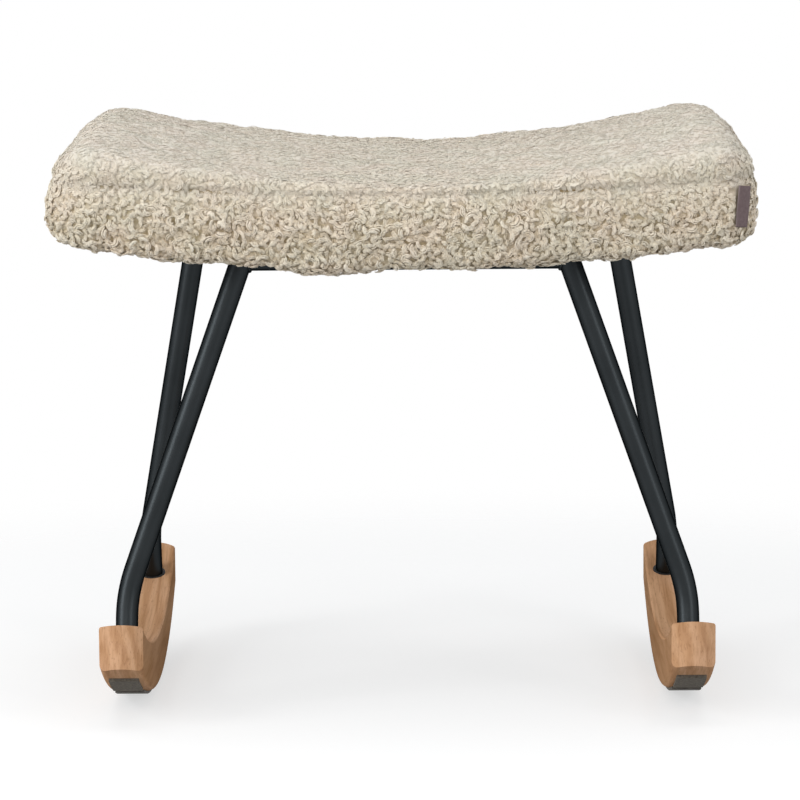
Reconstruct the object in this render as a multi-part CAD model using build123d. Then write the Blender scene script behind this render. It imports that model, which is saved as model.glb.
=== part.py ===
from build123d import *
import math
import os

# Rocking footstool: a dished, fabric-covered cushion on four bent steel tubes and two wooden rockers.
#
# Frame: millimetres, +Z up, +X to the sitter's right, the front at -Y.
# The origin is on the floor under the middle of the stool.
# The seat is built in its own frame, whose origin is the middle of the seat board's underside, and is
# then tipped and lifted into place by seat_place.

# ---- Driving dimensions ------------------------------------------------------------------------

# Rockers
ROCKER_LENGTH = 408.0
ROCKER_WIDTH = 36.5
ROCKER_SPACING = 475.0  # between the middles of the two rockers
FLOOR_RADIUS = 430.0  # the curve that the strips roll on
ROCKER_TOP_RADIUS = 490.0
ROCKER_MIDDLE_DEPTH = 44.6  # wood between the hollow top and the curved underside
NOSE_BULGE = 7.0  # how far each end bows out, seen from above
ROCKER_TOP_ROUND = 1.8
ROCKER_BOTTOM_ROUND = 5.5

# Strips and pads under the rockers
STRIP_THICKNESS = 2.5
STRIP_WIDTH = 25.0
STRIP_LENGTH = 236.0
PAD_LENGTH = 45.0
PAD_MIDDLE = 156.0  # from the middle of the rocker to the middle of a pad

# Leg tubes
TUBE_RADIUS = 9.5
TUBE_WALL = 1.5
BEND_RADIUS = 105.0
FRONT_SOCKET_OFFSET = 138.0  # from the middle of the rocker to a socket, along the floor
REAR_SOCKET_OFFSET = 154.0
SOCKET_DEPTH = 22.0
SOCKET_CLEARANCE = 0.3
SOCKET_MOUTH_RADIUS = 12.0
SOCKET_MOUTH_DEPTH = 3.0
RING_PROUD = 0.5  # of the ring in each mouth, over the wood
RING_CLEARANCE = 0.1
FRONT_BEND_HEIGHT = 39.0  # from the socket's mouth to the bend, along the tube
REAR_BEND_HEIGHT = 46.0
FRONT_TOP_SPACING = 269.0  # between the tops of the front legs
REAR_TOP_SPACING = 370.0
LEG_TOP_OFFSET = 105.0  # from the middle of the seat to each pair of leg tops

# Cross tubes and plates
CROSS_TUBE_RADIUS = 8.0
CROSS_TUBE_DROP = 9.5  # from the middle of the board's underside down to the tube's axis
PLATE_WIDTH = 44.0
PLATE_LENGTH = 64.0
PLATE_THICKNESS = 3.0
PLATE_CORNER = 8.0
SEAT_BOLT_SPREAD = 44.0  # between the two bolts of one plate

# Seat
SEAT_HEIGHT = 398.0  # floor to the middle of the board's underside
SEAT_TILT = 2.5  # degrees, the rear edge up
BOARD_RADIUS = 1900.0
BOARD_THICKNESS = 12.0
CUSHION_WIDTH = 580.0
CUSHION_DEPTH = 394.0  # at its seams; the band swells past them
CUSHION_CORNER = 38.0
COVER_THICKNESS = 6.0
BOARD_MARGIN = 2.0  # from the cover's inside to the board's edge
BOTTOM_ROUND = 14.0
BAND_BULGE = 3.0  # swell of the band between its drawn-in edges
SEAM_HEIGHT = 57.0  # of the seam over the board's underside, in the middle of the cushion
SEAM_RADIUS = 4000.0
SEAM_GROOVE = 3.0
TOP_EDGE_HEIGHT = 65.0
TOP_RADIUS = 1080.0
EDGE_ROLL = 12.0
CROWN = 8.5
END_CROWN = 3.4  # what is left of the crown at the two ends
END_ROLL = 43.0
SOFT_GAP = 0.3  # between a soft piece and what it lies against
FOAM_GAP = 0.9  # between the foam's sides and the cover

# Cloth under the board
DUST_CLOTH = 0.8
HEM_WIDTH = 24.0

# Tab in the band
TAB_WIDTH = 16.0
TAB_HEIGHT = 34.0
TAB_THICKNESS = 1.2
TAB_MIDDLE = 44.0  # above the board's underside
TAB_LEAN = 6.5

# Fasteners: M6 throughout
THREAD_RADIUS = 3.0
THREAD_CLEARANCE = 0.05
BOLT_CLEARANCE = 0.5
BOLT_HEAD_RADIUS = 5.0
BOLT_HEAD_HEIGHT = 6.0
BOLT_KEY_ACROSS_FLATS = 5.0
BOLT_KEY_DEPTH = 3.0
ROCKER_BOLT_LENGTH = 25.0
SEAT_BOLT_LENGTH = 14.0
SEAT_BOLT_HEAD_RADIUS = 5.25
SEAT_BOLT_HEAD_HEIGHT = 3.3
WASHER_RADIUS = 6.0
WASHER_THICKNESS = 1.5
COUNTERBORE_RADIUS = 6.5
COUNTERBORE_DEPTH = 8.0
PLUG_LENGTH = 20.0
TEE_BARREL_RADIUS = 4.0
TEE_BARREL_LENGTH = 9.0
TEE_FLANGE_RADIUS = 9.0
TEE_FLANGE_THICKNESS = 1.5

# ---- Sizes that follow -------------------------------------------------------------------------

SIDES = {"left": -1, "right": 1}
ENDS = {"front": -1, "rear": 1}

floor_centre = FLOOR_RADIUS
wood_radius = FLOOR_RADIUS - STRIP_THICKNESS
rocker_top = STRIP_THICKNESS + ROCKER_MIDDLE_DEPTH
top_centre = rocker_top + ROCKER_TOP_RADIUS
half_length = ROCKER_LENGTH / 2
rocker_x = ROCKER_SPACING / 2

half_width = CUSHION_WIDTH / 2
half_depth = CUSHION_DEPTH / 2
hem_drop = COVER_THICKNESS + 2 * SOFT_GAP  # the cover's turned-under hem lies below the board
plate_drop = DUST_CLOTH + 2 * SOFT_GAP  # the plates lie under the dust cloth
skin_inset = COVER_THICKNESS + BOARD_MARGIN
hem_opening = (
    CUSHION_WIDTH - 2 * (COVER_THICKNESS + HEM_WIDTH),
    CUSHION_DEPTH - 2 * (COVER_THICKNESS + HEM_WIDTH),
)


def arc_rise(x, radius):
    """Height of a hollow curve of this radius at x, over its lowest point."""
    return radius - math.sqrt(radius**2 - x**2)


def seat_place(shape):
    """Move a shape from the seat's frame to the stool's."""
    return Pos(0, 0, SEAT_HEIGHT) * Rot(SEAT_TILT, 0, 0) * shape


def seat_point(x, y, z):
    """A point of the seat's frame, in the stool's frame."""
    tilt = math.radians(SEAT_TILT)
    return Vector(
        x,
        y * math.cos(tilt) - z * math.sin(tilt),
        SEAT_HEIGHT + y * math.sin(tilt) + z * math.cos(tilt),
    )


def arc_band(radius, thickness, from_y, to_y):
    """Face in the YZ plane: a band outside this radius about the rolling centre, between two Y."""
    outer = radius + thickness

    def at(r, y):
        return (0, y, floor_centre - math.sqrt(r**2 - y**2))

    middle = (from_y + to_y) / 2
    inner_arc = ThreePointArc(at(radius, from_y), at(radius, middle), at(radius, to_y))
    outer_arc = ThreePointArc(at(outer, from_y), at(outer, middle), at(outer, to_y))
    ends = [Line(at(radius, y), at(outer, y)) for y in (from_y, to_y)]
    return make_face([inner_arc, outer_arc] + ends)


# ---- Rockers -----------------------------------------------------------------------------------


def socket_offset(end):
    return FRONT_SOCKET_OFFSET if end < 0 else REAR_SOCKET_OFFSET


def socket_angle(end):
    """Lean of a socket's axis from upright, towards the middle of the stool."""
    return math.asin(socket_offset(end) / ROCKER_TOP_RADIUS)


def socket_height(end):
    return top_centre - ROCKER_TOP_RADIUS * math.cos(socket_angle(end))


def socket_place(side, end):
    """Frame at a socket's mouth: +Z out along the tube, towards the centre of the rocker's top."""
    tilt = math.degrees(socket_angle(end)) * end
    return Pos(side * rocker_x, end * socket_offset(end), socket_height(end)) * Rot(tilt, 0, 0)


def underside_depth(end):
    """Distance from a socket's mouth to the wood's underside, along the tube's axis."""
    across = socket_offset(end)
    down = floor_centre - socket_height(end)
    along = across * math.sin(socket_angle(end)) + down * math.cos(socket_angle(end))
    beside = across**2 + down**2 - wood_radius**2
    return -along + math.sqrt(along**2 - beside)


def rolled_bar(centre_z, low, high, low_round, high_round):
    """A bar of the rocker's width, turned about a line across the stool at centre_z."""
    outline = Rectangle(ROCKER_WIDTH, high - low)
    for sign, round_radius in ((-1, low_round), (1, high_round)):
        if round_radius:
            corners = [v for v in outline.vertices() if v.Y * sign > 0]
            outline = fillet(corners, round_radius)
    upright = Pos(0, 0, (low + high) / 2) * Rot(90, 0, 0) * outline
    swing = math.degrees(math.asin(half_length / wood_radius)) + NOSE_BULGE
    start = Pos(0, 0, centre_z) * Rot(-swing, 0, 0) * Pos(0, 0, -centre_z) * upright
    return revolve(start, Axis((0, 0, centre_z), (1, 0, 0)), 2 * swing)


def rocker_blank():
    """The bent slab in the middle plane, before its holes."""
    spare = ROCKER_LENGTH / 2
    under = rolled_bar(floor_centre, STRIP_THICKNESS, rocker_top + spare, ROCKER_BOTTOM_ROUND, 0)
    over = rolled_bar(top_centre, -spare, rocker_top, 0, ROCKER_TOP_ROUND)
    half = ROCKER_WIDTH / 2
    nose_radius = (half**2 + NOSE_BULGE**2) / (2 * NOSE_BULGE)
    wide = (half + nose_radius) / 2  # past the bar's sides, so that only the ends are trimmed
    shoulder = half_length - arc_rise(wide, nose_radius)
    outline = [
        Line((-wide, -shoulder), (-wide, shoulder)),
        ThreePointArc((-wide, shoulder), (0, half_length), (wide, shoulder)),
        Line((wide, shoulder), (wide, -shoulder)),
        ThreePointArc((wide, -shoulder), (0, -half_length), (-wide, -shoulder)),
    ]
    return under & over & extrude(make_face(outline), 2 * spare, both=True)


def socket_cut(end):
    """What is bored out of a rocker at one socket, in the socket's frame."""
    under = underside_depth(end)
    bore = Cylinder(TUBE_RADIUS + SOCKET_CLEARANCE, SOCKET_DEPTH + TUBE_RADIUS)
    mouth = Cylinder(SOCKET_MOUTH_RADIUS, SOCKET_MOUTH_DEPTH + TUBE_RADIUS)
    counterbore = Cylinder(COUNTERBORE_RADIUS, COUNTERBORE_DEPTH + TUBE_RADIUS)
    bolt_hole = Cylinder(THREAD_RADIUS + BOLT_CLEARANCE, under + 2)
    return [
        Pos(0, 0, (TUBE_RADIUS - SOCKET_DEPTH) / 2) * bore,
        Pos(0, 0, (TUBE_RADIUS - SOCKET_MOUTH_DEPTH) / 2) * mouth,
        Pos(0, 0, -under + (COUNTERBORE_DEPTH - TUBE_RADIUS) / 2) * counterbore,
        Pos(0, 0, -under / 2) * bolt_hole,
    ]


def rocker(side):
    body = Pos(side * rocker_x, 0, 0) * rocker_blank()
    for end in ENDS.values():
        for tool in socket_cut(end):
            body = body - socket_place(side, end) * tool
    return body


def floor_strip(side):
    face = arc_band(wood_radius, STRIP_THICKNESS, -STRIP_LENGTH / 2, STRIP_LENGTH / 2)
    return Pos(side * rocker_x, 0, 0) * extrude(face, STRIP_WIDTH / 2, dir=(1, 0, 0), both=True)


def end_pads(side):
    pads = []
    for end in ENDS.values():
        near = end * PAD_MIDDLE - PAD_LENGTH / 2
        face = arc_band(wood_radius, STRIP_THICKNESS, near, near + PAD_LENGTH)
        pads.append(Pos(side * rocker_x, 0, 0) * extrude(face, STRIP_WIDTH / 2, dir=(1, 0, 0), both=True))
    return Compound(children=pads)


# ---- Steel frame -------------------------------------------------------------------------------


def board_slope(x):
    """Slope of the board's underside at x, in degrees."""
    return math.degrees(math.asin(x / BOARD_RADIUS))


def leg_top_x(side, end):
    spacing = FRONT_TOP_SPACING if end < 0 else REAR_TOP_SPACING
    return side * spacing / 2


def plate_place(side, end):
    """Frame on the top face of a leg's plate, in the seat's frame, with +Z into the board."""
    x = leg_top_x(side, end)
    z = arc_rise(x, BOARD_RADIUS)
    lie = Pos(x, end * LEG_TOP_OFFSET, z) * Rot(0, -board_slope(x), 0)
    return lie * Pos(0, 0, -plate_drop)


def plate_underside(side, end):
    """Middle of a plate's lower face, in the stool's frame."""
    at = (plate_place(side, end) * Pos(0, 0, -PLATE_THICKNESS)).position
    return seat_point(at.X, at.Y, at.Z)


def leg_path(side, end, overrun=0.0):
    """Middle line of a leg tube, from its plate to the floor of its socket."""
    height = FRONT_BEND_HEIGHT if end < 0 else REAR_BEND_HEIGHT
    socket = socket_place(side, end)
    bend = (socket * Pos(0, 0, height)).position
    foot = (socket * Pos(0, 0, -SOCKET_DEPTH)).position
    top = plate_underside(side, end)
    top = top + (top - bend).normalized() * overrun
    return FilletPolyline(top, bend, foot, radius=BEND_RADIUS)


def leg_bar(side, end, radius, overrun=0.0):
    """A round bar along the leg's middle line."""
    path = leg_path(side, end, overrun)
    start = Plane(origin=path @ 0, z_dir=path % 0)
    return sweep(start * Circle(radius), path=path)


def below_plate(side, end):
    """All the room under a plate's lower face, in the stool's frame."""
    room = Pos(0, 0, -PLATE_THICKNESS - SEAT_HEIGHT / 2) * Box(2 * SEAT_HEIGHT, 2 * SEAT_HEIGHT, SEAT_HEIGHT)
    return seat_place(plate_place(side, end) * room)


def leg(side, end):
    overrun = 2 * TUBE_RADIUS
    tube = leg_bar(side, end, TUBE_RADIUS, overrun) - leg_bar(side, end, TUBE_RADIUS - TUBE_WALL, overrun)
    return tube & below_plate(side, end)


def cross_tube(end):
    """Straight tube between two legs, its ends saddled on them."""
    axis_x = leg_top_x(1, end)
    bar = Rot(0, 90, 0) * Cylinder(CROSS_TUBE_RADIUS, 2 * axis_x)
    bore = Rot(0, 90, 0) * Cylinder(CROSS_TUBE_RADIUS - TUBE_WALL, 2 * axis_x)
    tube = seat_place(Pos(0, end * LEG_TOP_OFFSET, -CROSS_TUBE_DROP) * (bar - bore))
    for side in SIDES.values():
        tube = tube - leg_bar(side, end, TUBE_RADIUS, 2 * TUBE_RADIUS)
    return tube


def seat_bolt_places(side, end):
    """Frames on a plate's top face at its two bolts."""
    spread = (-SEAT_BOLT_SPREAD / 2, SEAT_BOLT_SPREAD / 2)
    return [plate_place(side, end) * Pos(0, y, 0) for y in spread]


def all_seat_bolt_places():
    return [p for side in SIDES.values() for end in ENDS.values() for p in seat_bolt_places(side, end)]


def plate(side, end):
    blank = extrude(RectangleRounded(PLATE_WIDTH, PLATE_LENGTH, PLATE_CORNER), -PLATE_THICKNESS)
    body = plate_place(side, end) * blank
    for place in seat_bolt_places(side, end):
        body = body - place * Cylinder(THREAD_RADIUS + BOLT_CLEARANCE, 3 * PLATE_THICKNESS)
    return seat_place(body)


# ---- Fasteners ---------------------------------------------------------------------------------


def hex_key(depth):
    """A hexagon socket, opening at z = 0 and sunk upwards."""
    return extrude(RegularPolygon(BOLT_KEY_ACROSS_FLATS / 2, 6, major_radius=False), depth)


def bolt(length, head_radius, head_height):
    """A bolt pointing up, with the underside of its head at z = 0."""
    head = Pos(0, 0, -head_height / 2) * Cylinder(head_radius, head_height)
    shank = Pos(0, 0, length / 2) * Cylinder(THREAD_RADIUS - THREAD_CLEARANCE, length)
    key = Pos(0, 0, -head_height) * hex_key(min(BOLT_KEY_DEPTH, head_height / 2))
    return head + shank - key


def washer():
    """A washer under z = 0."""
    blank = Pos(0, 0, -WASHER_THICKNESS / 2) * Cylinder(WASHER_RADIUS, WASHER_THICKNESS)
    return blank - Cylinder(THREAD_RADIUS + BOLT_CLEARANCE, 3 * WASHER_THICKNESS)


def at_sockets(piece, depth):
    """A copy of the piece in each socket, depth(end) below its mouth."""
    copies = []
    for side in SIDES.values():
        for end in ENDS.values():
            copies.append(socket_place(side, end) * Pos(0, 0, -depth(end)) * piece)
    return Compound(children=copies)


def bearing_depth(end):
    """Depth below a socket's mouth of the floor of the counterbore."""
    return underside_depth(end) - COUNTERBORE_DEPTH


def rocker_washers():
    return at_sockets(washer(), bearing_depth)


def rocker_bolts():
    made = bolt(ROCKER_BOLT_LENGTH, BOLT_HEAD_RADIUS, BOLT_HEAD_HEIGHT)
    return at_sockets(made, lambda end: bearing_depth(end) + WASHER_THICKNESS)


def leg_plugs():
    """Tapped plugs, one pressed into the foot of each tube."""
    radius = TUBE_RADIUS - TUBE_WALL - THREAD_CLEARANCE
    made = Cylinder(radius, PLUG_LENGTH) - Cylinder(THREAD_RADIUS, 2 * PLUG_LENGTH)
    return at_sockets(made, lambda end: SOCKET_DEPTH - PLUG_LENGTH / 2)


def socket_rings():
    """Rings that fill the sockets' wider mouths, round the tubes."""
    height = SOCKET_MOUTH_DEPTH + RING_PROUD
    made = Cylinder(SOCKET_MOUTH_RADIUS - RING_CLEARANCE, height)
    made = made - Cylinder(TUBE_RADIUS + RING_CLEARANCE, 2 * height)
    return at_sockets(made, lambda end: height / 2 - RING_PROUD)


def seat_washers():
    drop = Pos(0, 0, -PLATE_THICKNESS)
    return Compound(children=[seat_place(p * drop * washer()) for p in all_seat_bolt_places()])


def seat_bolts():
    made = bolt(SEAT_BOLT_LENGTH, SEAT_BOLT_HEAD_RADIUS, SEAT_BOLT_HEAD_HEIGHT)
    drop = Pos(0, 0, -PLATE_THICKNESS - WASHER_THICKNESS)
    return Compound(children=[seat_place(p * drop * made) for p in all_seat_bolt_places()])


def tee_nut():
    """A tee nut whose flange lies on the board's top and whose barrel points down."""
    flange = Pos(0, 0, TEE_FLANGE_THICKNESS / 2) * Cylinder(TEE_FLANGE_RADIUS, TEE_FLANGE_THICKNESS)
    barrel = Pos(0, 0, -TEE_BARREL_LENGTH / 2) * Cylinder(TEE_BARREL_RADIUS, TEE_BARREL_LENGTH)
    return flange + barrel - Cylinder(THREAD_RADIUS, 4 * TEE_BARREL_LENGTH)


def tee_nut_lift():
    """From a plate's top face to the board's top, with the flange let in level."""
    return Pos(0, 0, plate_drop + BOARD_THICKNESS - TEE_FLANGE_THICKNESS)


def tee_nuts():
    return Compound(children=[seat_place(p * tee_nut_lift() * tee_nut()) for p in all_seat_bolt_places()])


# ---- Seat --------------------------------------------------------------------------------------


def bent_sheet(low, thickness, half_x, half_y, corner):
    """A sheet bent to the board's curve. low is its lower face, under or over the board's underside."""
    centre = BOARD_RADIUS

    def at(z, x):
        radius = BOARD_RADIUS - z
        return (x, 0, centre - math.sqrt(radius**2 - x**2))

    reach = half_x + corner
    high = low + thickness
    arcs = [ThreePointArc(at(z, -reach), at(z, 0), at(z, reach)) for z in (low, high)]
    ends = [Line(at(low, x), at(high, x)) for x in (-reach, reach)]
    band = extrude(make_face(arcs + ends), half_y + corner, dir=(0, 1, 0), both=True)
    outline = extrude(RectangleRounded(2 * half_x, 2 * half_y, corner), BOARD_RADIUS / 4, both=True)
    return band & outline


def seat_board():
    size = (half_width - skin_inset, half_depth - skin_inset, CUSHION_CORNER - skin_inset)
    board = bent_sheet(0, BOARD_THICKNESS, *size)
    for place in all_seat_bolt_places():
        hole = Cylinder(TEE_BARREL_RADIUS + THREAD_CLEARANCE, 4 * BOARD_THICKNESS)
        recess = Cylinder(TEE_FLANGE_RADIUS + THREAD_CLEARANCE, BOARD_THICKNESS)
        board = board - place * hole - place * tee_nut_lift() * Pos(0, 0, BOARD_THICKNESS / 2) * recess
    return seat_place(board)


def dust_cloth():
    width, depth = (size / 2 - SOFT_GAP for size in hem_opening)
    cloth = bent_sheet(-DUST_CLOTH - SOFT_GAP, DUST_CLOTH, width, depth, CUSHION_CORNER / 2)
    for place in all_seat_bolt_places():
        cloth = cloth - place * Cylinder(THREAD_RADIUS + BOLT_CLEARANCE, 4 * BOARD_THICKNESS)
    return seat_place(cloth)


def ease(distance, radius):
    """Drop of a quarter round of this radius, this far past its start."""
    along = min(max(distance / radius, 0.0), 1.0)
    return radius * (1 - math.sqrt(1 - along**2))


def cushion_section(x, inset, groove):
    """Closed outline of the cushion across its depth at x, shrunk by inset."""
    from_end = abs(x) - (half_width - inset)
    corner = CUSHION_CORNER - inset
    edge = half_depth - inset - ease(from_end + corner, corner)
    turn = max(BOTTOM_ROUND - 2 * max(inset, 0), SEAM_GROOVE / 2)
    low = arc_rise(x, BOARD_RADIUS) - hem_drop + inset + ease(from_end + turn, turn)
    seam = SEAM_HEIGHT + arc_rise(x, SEAM_RADIUS)
    end_drop = ease(from_end + END_ROLL, END_ROLL)
    rim = TOP_EDGE_HEIGHT + arc_rise(x, TOP_RADIUS) - end_drop - inset
    rim = max(rim, seam + 2 * SEAM_GROOVE * COVER_THICKNESS / (COVER_THICKNESS + inset))
    crown = rim + CROWN - (CROWN - END_CROWN) * end_drop / END_ROLL
    cut = math.sqrt(0.5)
    flanks = []
    for s in (1, -1):
        flanks += [
            ThreePointArc(
                (x, s * (edge - turn), low),
                (x, s * (edge - turn * (1 - cut)), low + turn * (1 - cut)),
                (x, s * edge, low + turn),
            ),
            ThreePointArc(
                (x, s * edge, low + turn),
                (x, s * (edge + BAND_BULGE), (low + turn + seam) / 2),
                (x, s * edge, seam - groove),
            ),
            Line((x, s * edge, seam - groove), (x, s * (edge - groove), seam)),
            Line((x, s * (edge - groove), seam), (x, s * edge, seam + groove)),
            ThreePointArc(
                (x, s * edge, seam + groove),
                (x, s * (edge - EDGE_ROLL * (1 - cut)), seam + groove + (rim - seam - groove) * cut),
                (x, s * (edge - EDGE_ROLL), rim),
            ),
        ]
    base = Line((x, -(edge - turn), low), (x, edge - turn, low))
    top = ThreePointArc((x, -(edge - EDGE_ROLL), rim), (x, 0, crown), (x, edge - EDGE_ROLL, rim))
    return make_face([base, top] + flanks)


def cushion_form(inset, groove=SOFT_GAP):
    """The cushion's soft outline as a solid, lofted from one end to the other."""
    reach = half_width - inset
    flat = reach - END_ROLL
    steps = [flat * k / 5 for k in range(6)]
    turns = [flat + END_ROLL * math.sin(math.radians(15 * k)) for k in range(1, 7)]
    stations = sorted({side * x for x in steps + turns for side in (-1, 1)})
    return loft([cushion_section(x, inset, groove) for x in stations], ruled=True)


def seam_gap():
    """A thin curved slab along the seam, which parts the cover's top panel from its band."""
    reach = CUSHION_WIDTH

    def at(x, step):
        return (x, 0, SEAM_HEIGHT + step + arc_rise(x, SEAM_RADIUS))

    steps = (-SOFT_GAP / 2, SOFT_GAP / 2)
    arcs = [ThreePointArc(at(-reach, s), at(0, s), at(reach, s)) for s in steps]
    ends = [Line(at(x, steps[0]), at(x, steps[1])) for x in (-reach, reach)]
    return extrude(make_face(arcs + ends), CUSHION_DEPTH, dir=(0, 1, 0), both=True)


def cover_panels():
    """The cover's top panel and its side band with the hem, as two shells."""
    outside = cushion_form(0, SEAM_GROOVE)
    inside = cushion_form(COVER_THICKNESS)
    opening_reach = arc_rise(half_width, BOARD_RADIUS) + hem_drop
    opening = extrude(RectangleRounded(*hem_opening, CUSHION_CORNER / 2), opening_reach, both=True)
    shell = outside - inside - opening
    shells = (shell - seam_gap()).solids().sort_by(Axis.Z)
    return {"cover_side_band": seat_place(shells[0]), "cover_top_panel": seat_place(shells[-1])}


def seat_foam():
    block = cushion_form(COVER_THICKNESS + FOAM_GAP)
    spare = 2 * BOARD_THICKNESS
    under = bent_sheet(-spare, spare + BOARD_THICKNESS + SOFT_GAP, half_width, half_depth, CUSHION_CORNER)
    return seat_place(block - under)


def label_tab():
    """The folded tab that lies round the front right corner of the band."""
    layer = cushion_form(-TAB_THICKNESS - SOFT_GAP) - cushion_form(-SOFT_GAP)
    corner = Pos(half_width - CUSHION_CORNER, CUSHION_CORNER - half_depth, TAB_MIDDLE) * Rot(0, 0, 45)
    out = Pos(0, -CUSHION_CORNER, 0) * Rot(0, TAB_LEAN, 0)
    return seat_place(layer & (corner * out * Box(TAB_WIDTH, CUSHION_CORNER, TAB_HEIGHT)))


# ---- The sub-parts -----------------------------------------------------------------------------


def all_parts():
    """Every sub-part by name."""
    parts = {
        "seat_board": seat_board(),
        "seat_foam": seat_foam(),
        **cover_panels(),
        "dust_cloth": dust_cloth(),
        "label_tab": label_tab(),
        "tee_nuts": tee_nuts(),
        "seat_bolts": seat_bolts(),
        "seat_washers": seat_washers(),
        "leg_plugs": leg_plugs(),
        "socket_rings": socket_rings(),
        "rocker_bolts": rocker_bolts(),
        "rocker_washers": rocker_washers(),
    }
    for end_name, end in ENDS.items():
        parts[f"{end_name}_cross_tube"] = cross_tube(end)
        for side_name, side in SIDES.items():
            parts[f"{end_name}_{side_name}_leg"] = leg(side, end)
            parts[f"{end_name}_{side_name}_plate"] = plate(side, end)
    for side_name, side in SIDES.items():
        parts[f"{side_name}_rocker"] = rocker(side)
        parts[f"{side_name}_floor_strip"] = floor_strip(side)
        parts[f"{side_name}_end_pads"] = end_pads(side)
    return parts


os.makedirs("parts", exist_ok=True)
for name, shape in all_parts().items():
    export_step(shape, f"parts/{name}.step")
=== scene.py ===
"""Looks of the rocking footstool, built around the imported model. Metres, +Z up, the front at -Y."""
import math

import bmesh
import bpy
import numpy as np
from mathutils import Euler, Matrix, Vector, noise

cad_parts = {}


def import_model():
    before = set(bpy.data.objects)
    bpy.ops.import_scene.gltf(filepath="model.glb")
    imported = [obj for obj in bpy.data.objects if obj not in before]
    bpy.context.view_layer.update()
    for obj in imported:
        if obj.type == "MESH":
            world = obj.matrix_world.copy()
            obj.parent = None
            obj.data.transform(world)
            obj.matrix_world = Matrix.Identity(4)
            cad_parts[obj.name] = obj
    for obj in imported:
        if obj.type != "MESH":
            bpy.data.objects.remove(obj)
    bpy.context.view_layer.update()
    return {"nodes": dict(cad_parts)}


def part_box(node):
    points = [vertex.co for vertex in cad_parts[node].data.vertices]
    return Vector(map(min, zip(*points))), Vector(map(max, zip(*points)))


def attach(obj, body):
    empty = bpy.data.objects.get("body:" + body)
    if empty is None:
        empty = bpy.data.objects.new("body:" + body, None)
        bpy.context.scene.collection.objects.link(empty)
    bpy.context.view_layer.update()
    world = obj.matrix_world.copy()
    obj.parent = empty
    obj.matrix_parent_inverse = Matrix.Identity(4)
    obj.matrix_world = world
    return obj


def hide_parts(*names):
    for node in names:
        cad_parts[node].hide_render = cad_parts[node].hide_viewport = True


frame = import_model()

MM = 0.001

# ---- Sizes from the seat's construction --------------------------------------------------------

SEAT_HEIGHT = 398 * MM  # floor to the middle of the board's underside
SEAT_TILT = math.radians(2.5)  # the rear edge up
SEAM_HEIGHT = 57 * MM  # of the seam over the board's underside, in the middle
SEAM_RADIUS = 4000 * MM
BOARD_RADIUS = 1900 * MM
CUSHION_HALF_WIDTH = 290 * MM
CUSHION_HALF_DEPTH = 197 * MM
HEM_WIDTH = 24 * MM
COVER_THICKNESS = 6 * MM

# ---- Camera ------------------------------------------------------------------------------------

CAMERA_PLACE = (0.0192, -3.1734, 0.666)
CAMERA_LENS = 164.24
CAMERA_DOWN = math.radians(7.443)
CAMERA_YAW = math.radians(0.453)
CAMERA_ROLL = math.radians(-0.447)

# ---- Curly pile --------------------------------------------------------------------------------

SKIN_VOXEL = 3.0 * MM
LUMPS = 2.0 * MM  # of the padding
LUMP_WAVES = ((1, 22.0), (1, 50.0), (0.6, 100.0))  # the share of each, and how many to the metre
END_SWELL = 7.0 * MM  # the left end is stuffed fuller than the right
END_SWELL_FROM = 250 * MM  # from the middle of the cushion
END_SWELL_GROWS = 40 * MM  # to its full height over this length
END_SWELL_HEIGHT = 40 * MM  # over the board, where it is fullest
END_SWELL_SPREAD = 26 * MM
SKIN_INSET = (0.7 * MM, 2.6 * MM)  # under the cushion's outline, where the pile is lowest and highest
SKIN_LIFT = 2.5 * MM  # of the skin over the board's underside, where the cloth covers it
CLUMP_SIZE = 11 * MM  # of the rounded tufts that the curls gather in
CLUMP_HEIGHT = 2.2 * MM
TOP_SPACING = 3.8 * MM
BAND_SPACING = 3.1 * MM
TOP_LOFT = 0.15  # how high the pile stands: pressed on the top, higher at the seam and low on the band
PRESSED = 0.21  # where it stands lower than this, the curls are smaller and further apart
SEAM_LOFT = 0.40
BAND_LOFT = 0.72
CURL_SEED = 11
CURL_SHAPES = 40
CURL_TINTS = 3
STRANDS = 4  # side by side in a lock
STRAND_SIDES = 4
STRAND_RINGS = 6
TILES = 11  # the map's tiles per side: each curl shape has one tile in each tint
MOST_CURLS = 1000  # in one piece
RAISED = 0.8 * MM  # of the curls that stand out from the rest
RAISED_SHARE = 0.3
PALEST = 4.0 * MM  # over the skin, where the painted shade at a curl's root has faded to the colour of its tip
TRIES = 4.5  # for each point that might fit
TOP_SIZE = 0.84
BAND_SIZE = 1.0
SEAM_BARE = 0.7 * MM  # half of the strip along the seam that hardly any curl stands on
SEAM_BARE_SHARE = 0.7  # of the curls there that are left out
SEAM_DEPTH = 2.0 * MM
SEAM_WIDTH = 2.6 * MM
SEAM_BREAKS = 19  # of the crease, to the metre
SEAM_PRESS = 4 * MM  # how far beside the seam the pile is pulled down
LOFT_GROWS = 105 * MM  # the pile grows by its full height over this much of the band
LOFT_FALLS = 20 * MM  # over the seam, to the pressed top
LOW_BULGE = 6.0 * MM  # the padding hangs lower left of the front's middle
LOW_BULGE_PLACE = -68 * MM
LOW_BULGE_WIDTH = 34 * MM
LOW_BULGE_GROWS = 60 * MM  # starting at twice this in front of the middle
TOP_HOLLOW = 2.6 * MM  # the top is sat in, a little right of its middle
TOP_HOLLOW_PLACE = 28 * MM
TOP_HOLLOW_WIDTH = 70 * MM

# ---- Tab ---------------------------------------------------------------------------------------

TAB_WIDTH = 15 * MM
TAB_HEIGHT = 34 * MM
TAB_THICKNESS = 1.1 * MM
TAB_CURVE = 42 * MM  # the tab's bend round the cushion's corner
TAB_LEAN = math.radians(6.5)  # its upper end to the right
TAB_PROUD = 0.8 * MM
TAB_SHIFT = 2.0 * MM  # towards the front, along the corner
TAB_CLEAR = 1.5 * MM  # of curls, round the tab
RIB_PITCH = 1.15  # of the ribs woven in it, in millimetres

# ---- Steel frame -------------------------------------------------------------------------------

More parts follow.
